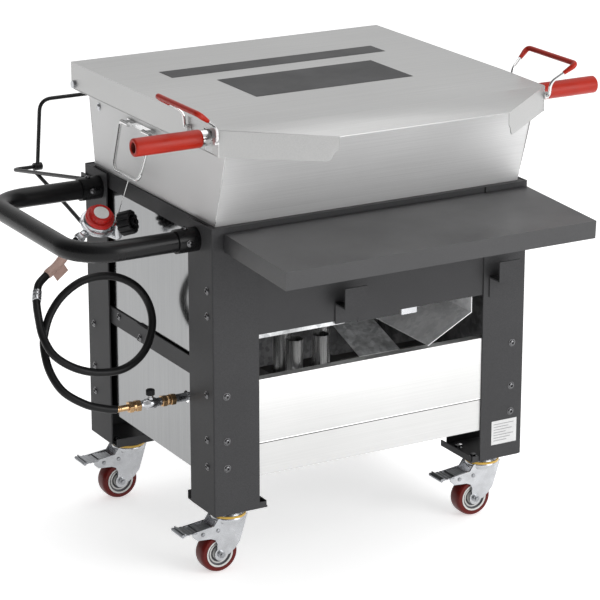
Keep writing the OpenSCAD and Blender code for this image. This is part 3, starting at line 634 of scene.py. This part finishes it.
# Casters --------------------------------------------------------------------------------
wheel_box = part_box("caster_wheel_fl")
TR = -284 - ((wheel_box[0].x + wheel_box[1].x) / 2 - OX) * 1000
SW = dict(fl=(-1, -1), fr=(1, -1), rl=(-1, 1), rr=(1, 1))
for q, (sx, sy) in SW.items():
    cx, cy = sx * 284, sy * 213
    ax = P(cx - TR, cy, 38, 0)
    m = frame_at(ax, (0, -1, 0))
    bm = bmesh.new()
    # index 0 tread, 1 hub ring, 2 recess, in dark grey as painted shade
    half = [(38, 0), (38, 6), (37.6, 10), (36.6, 13.2), (34.6, 15.4), (31, 16), (28.2, 15.9), (27.6, 15.6), (27.2, 15.9), (24.4, 15.7), (23.6, 14.8), (23.2, 12), (20.5, 11.4),
            (20.0, 12.4), (17.6, 12.6), (17.0, 11.2), (13.4, 10.4), (12.8, 12), (9.2, 12.2), (9, 17), (4.3, 17)]
    idx = [0, 0, 0, 0, 0, 0, 0, 2, 1, 1, 2, 2, 1, 1, 2, 2, 1, 1, 1, 1]
    lathe(bm, half, m, 72, mi=idx)
    lathe(bm, [(r, -h) for r, h in half], m, 72, mi=idx)
    bmesh.ops.remove_doubles(bm, verts=bm.verts, dist=1e-6)
    bmesh.ops.recalc_face_normals(bm, faces=bm.faces)
    w = obj("wheel_" + q, bm, "tread", "wheel_" + q, smooth=35, mats=["tread", "hub", "hub_painted_shade"])
    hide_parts("caster_wheel_" + q)
    # axle ends, rivets and the domed head of the fork
    bm = bmesh.new()
    for s in (-1, 1):
        y = cy + s * 20.5
        hexa(bm, P(cx - TR, y, 38, 0), (0, s, 0), 7.2, 5)
        lathe(bm, [(0, 0), (4, 0), (4, 6.5), (3.2, 7.4), (0, 7.4)], frame_at(P(cx - TR, y, 38, 0), (0, s, 0)), 24)
        for rx, rz in ((-64, 85), (-32, 87)):
            lathe(bm, [(0, 0), (4.2, 0), (3.9, 1.0), (2.6, 1.9), (0, 2.2)], frame_at(P(cx + rx, y, rz, 0), (0, s, 0)), 24)
    obj("fork_rivets_" + q, bm, "zinc_dull", "fork_" + q, bevel=0.2)
    bm = bmesh.new()
    lathe(bm, [(22.5, 109.6), (33, 109.6), (33.8, 108), (33.6, 103), (31.5, 99), (30.6, 99), (32.4, 103), (32.4, 106.6), (22.5, 106.8)], frame_at(P(cx, cy, 0, 0), (0, 0, 1)), 56, close=True)
    obj("fork_dome_" + q, bm, "zinc", "fork_" + q)
    # pedal with pressed ribs and rolled tip
    bm = bmesh.new()
    o = P(cx - 64, cy, 85, 0)
    m4 = Matrix.Translation(o)
    def plate(x0, x1, hw, z0, z1, waves):
        nx = waves * 8
        T, B = [], []
        for i in range(nx + 1):
            x = x0 + (x1 - x0) * i / nx
            dz = 0.45 * math.cos(2 * math.pi * waves * i / nx)
            T.append([bm.verts.new(m4 @ Vector((x / 1000, y / 1000, (z1 + dz) / 1000))) for y in (-hw, hw)])
            B.append([bm.verts.new(m4 @ Vector((x / 1000, y / 1000, (z0 + dz) / 1000))) for y in (-hw, hw)])
        for i in range(nx):
            bm.faces.new([T[i][0], T[i + 1][0], T[i + 1][1], T[i][1]])
            bm.faces.new([B[i][0], B[i][1], B[i + 1][1], B[i + 1][0]])
            bm.faces.new([T[i][0], B[i][0], B[i + 1][0], T[i + 1][0]])
            bm.faces.new([T[i][1], T[i + 1][1], B[i + 1][1], B[i][1]])
        bm.faces.new([T[0][0], T[0][1], B[0][1], B[0][0]])
        bm.faces.new([T[-1][0], B[-1][0], B[-1][1], T[-1][1]])
    plate(-40, -12, 21.5, 4.6, 6.8, 4)
    plate(-10, 20, 16.5, 6.2, 8.6, 5)
    plate(-16, 4, 16.5, 3.6, 5.4, 1)
    cyl(bm, o + Vector((-0.042, -0.022, 0.005)), o + Vector((-0.042, 0.022, 0.005)), 3.4, 20)
    cyl(bm, o + Vector((-0.0375, -0.0225, 0.0085)), o + Vector((-0.0375, 0.0225, 0.0085)), 1.9, 16)
    for s in (-1, 1):
        block(bm, (-0.006, s * 0.01575 - 0.00125, -0.004), (0.008, s * 0.01575 + 0.00125, 0.005), m4)
    cyl(bm, o + Vector((0, -0.023, 0)), o + Vector((0, 0.023, 0)), 3, 20)
    bmesh.ops.recalc_face_normals(bm, faces=bm.faces)
    pd = obj("brake_pedal_" + q, bm, "zinc_dull", "pedal_" + q, smooth=30, bevel=0.25)
    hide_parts("caster_pedal_" + q)

# Details on the sheet metal -------------------------------------------------------------
# Weld seams down the four tank corners and the rolled rim
bm = bmesh.new()
for sx in (-1, 1):
    for ya, yb in ((-252, -300), (247, 270)):
        tube(bm, straight(P(sx * 326, ya, 684), P(sx * 326, yb, 838), 30), 0.8, 8, True, lambda t: 0.75 + 0.12 * math.sin(180 * t))
tube(bm, fillet([P(-326, -299.6, 842), P(326, -299.6, 842), P(326, 269.6, 842), P(-326, 269.6, 842), P(-326, -299, 842)], 0.004), 1.1, 8)
obj("tank_seams", bm, "wire", "frame")
# Button head screws with a hexagon socket, on thin washers
def button(bm, p, axis, r=6.2, up=None):
    m = frame_at(p, axis)
    lathe(bm, [(0, 0.1), (r + 1.2, 0.1), (r + 1.2, 0.7), (r, 0.8), (r * 0.96, 1.6), (r * 0.8, 2.7), (r * 0.55, 3.3), (r * 0.42, 3.4)], m, 32)
    top = [bm.verts.new(m @ Vector((r * 0.42 / 1000 * math.cos(2 * math.pi * k / 6), r * 0.42 / 1000 * math.sin(2 * math.pi * k / 6), 0.0034))) for k in range(6)]
    low = [bm.verts.new(m @ Vector((r * 0.40 / 1000 * math.cos(2 * math.pi * k / 6), r * 0.40 / 1000 * math.sin(2 * math.pi * k / 6), 0.0012))) for k in range(6)]
    for k in range(6):
        bm.faces.new([top[k], top[(k + 1) % 6], low[(k + 1) % 6], low[k]])
    bm.faces.new(low)


bm = bmesh.new()
for sx in (-1, 1):
    for sy in (-1, 1):
        for z in (219, 272, 360):
            button(bm, P(sx * 340, sy * 240, z), (sx, 0, 0))
            button(bm, P(sx * 313, sy * 266.5, z), (0, sy, 0))
    for z in (513, 561):
        button(bm, P(sx * 340, -245, z), (sx, 0, 0))
    button(bm, P(sx * 334, 138, 402), (sx, 0, 0))
    button(bm, P(sx * 337, 40, 388), (sx, 0, 0))
for sy in (-1, 1):
    button(bm, P(-363, sy * 203, 671.5), (0, 0, 1), 5.2)
    button(bm, P(-363, sy * 203 - 22.5, 649), (0, -1, 0), 5.2)
for sx in (-1, 1):
    for sy in (-1, 1):
        for i in (-38, 38):
            for j in (-27.5, 27.5):
                hexa(bm, P(sx * 284 + i, sy * 213 + j, 128.9), (0, 0, 1), 6.5, 5)
scr = obj("screws_and_nuts", bm, "dark", "frame", smooth=35)
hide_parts("fasteners")
bm = bmesh.new()
lathe(bm, [(0, 0), (8, 0), (8, 1), (5.6, 1.1), (5.4, 2.6), (3.6, 3.8), (0, 4.2)], frame_at(P(-326, 223, 802), (-1, 0, 0)), 32)
obj("tank_side_bolt", bm, "zinc", "frame")
# Folded bracket of each drop handle: a wall strip whose lower edge is rolled round the pins
bm = bmesh.new()
for s in (-1, 1):
    sec = [(326.1, 796), (326.1, 807), (327.6, 807), (327.6, 803.2)]
    sec += [(339 - 4.4 * math.cos(math.radians(a)), 802 + 4.4 * math.sin(math.radians(a))) for a in range(20, 341, 20)]
    sec += [(327.6, 799.6), (327.6, 796)]
    for y0, y1 in ((-22, 8), (68, 98), (8, 68)):
        prof = sec if y1 - y0 == 30 else [(326.1, 796), (326.1, 807), (327.6, 807), (327.6, 796)]
        A = [bm.verts.new(P(s * x, y0, z)) for x, z in prof]
        C = [bm.verts.new(P(s * x, y1, z)) for x, z in prof]
        for k in range(len(prof)):
            bm.faces.new([A[k], A[(k + 1) % len(prof)], C[(k + 1) % len(prof)], C[k]])
        bm.faces.new(A[::-1])
        bm.faces.new(C)
bmesh.ops.recalc_face_normals(bm, faces=bm.faces)
dhb = obj("drop_handle_hinges", bm, "wire", "frame", smooth=30)
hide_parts("drop_handle_brackets")
# Hex nuts in the caster trays come with the CAD fasteners; washers under them
bm = bmesh.new()
for q, (sx, sy) in SW.items():
    for i in (-38, 38):
        for j in (-27.5, 27.5):
            m = frame_at(P(sx * 284 + i, sy * 213 + j, 128), (0, 0, 1))
            lathe(bm, [(3.4, 0.05), (8, 0.05), (8, 0.9), (3.4, 0.9)], m, 28, close=True)
obj("caster_bolt_washers", bm, "zinc", "frame")
# Bright tab folded down behind the apron
bm = bmesh.new()
block(bm, P(64, -261.2, 455), P(98, -260.4, 476))
obj("apron_tab", bm, "zinc", "frame", bevel=0.2)
# Plain label plate on the front right leg
bm = bmesh.new()
block(bm, P(270, -267.1, 155), P(328, -266.55, 204))
obj("leg_label", bm, "label", "frame", bevel=0.1)
bm = bmesh.new()
for k in range(7):
    z = 196 - 5.6 * k
    block(bm, P(275, -267.35, z), P(275 + (46, 34, 42, 28, 46, 38, 30)[k], -267.05, z + 1.5))
obj("leg_label_lines", bm, "grey", "frame")
# Two plain dark bands on the lid
bm = bmesh.new()
block(bm, P(-238, 84, 877.02), P(233, 140, 877.35))
block(bm, P(-172, -128, 877.02), P(166, 28, 877.35))
obj("lid_bands", bm, "band", "lid", bevel=0.1)
# Hem fold lines of the lid along its side returns
bm = bmesh.new()
for s in (-1, 1):
    tube(bm, straight(P(s * 345.7, -300, 826), P(s * 345.7, 302, 826), 20), 0.9, 8)
obj("lid_fold_lines", bm, "lid", "lid")

# Stage ---------------------------------------------------------------------------------
fm = Mat("floor").set(rough=0.9, spec=0.1)
fm.b.inputs["Emission Color"].default_value = (1, 1, 1, 1)
fm.b.inputs["Emission Strength"].default_value = 0.55
fm.link(fm.ramp(fm.noise(3, 2), [(0.3, 0.93), (0.7, 0.95)]), "Base Color")
bm = bmesh.new()
vs = [bm.verts.new(Vector((x, y, -0.0005))) for x, y in ((-60, -60), (60, -60), (60, 60), (-60, 60))]
bm.faces.new(vs)
me = bpy.data.meshes.new("floor")
bm.to_mesh(me)
bm.free()
floor = bpy.data.objects.new("floor", me)
me.materials.append(fm.m)
bpy.context.scene.collection.objects.link(floor)
w = bpy.data.worlds.new("studio")
bpy.context.scene.world = w
w.use_nodes = True
wt = w.node_tree
wc = wt.nodes.new("ShaderNodeTexCoord")
ws = wt.nodes.new("ShaderNodeSeparateXYZ")
wr = wt.nodes.new("ShaderNodeMapRange")
wt.links.new(wc.outputs["Generated"], ws.inputs[0])
wt.links.new(ws.outputs["X"], wr.inputs["Value"])
wr.inputs["From Min"].default_value, wr.inputs["From Max"].default_value = -0.75, 0.15
wr.inputs["To Min"].default_value, wr.inputs["To Max"].default_value = 0.12, 0.80
wt.links.new(wr.outputs["Result"], wt.nodes["Background"].inputs[1])
wt.nodes["Background"].inputs[0].default_value = (1, 1, 1, 1)
bpy.context.scene.view_settings.view_transform = "Standard"


def area(name, loc, at, size, power):
    d = bpy.data.lights.new(name, "AREA")
    d.energy, d.size = power, size
    o = bpy.data.objects.new(name, d)
    o.location = loc
    o.rotation_euler = (Vector(at) - Vector(loc)).to_track_quat("-Z", "Y").to_euler()
    bpy.context.scene.collection.objects.link(o)


area("key", (1.9, -3.8, 1.5), (0, 0, 0.6), 2.6, 75)
area("top", (0.6, 0.2, 3.6), (0, 0, 0.5), 3.0, 30)
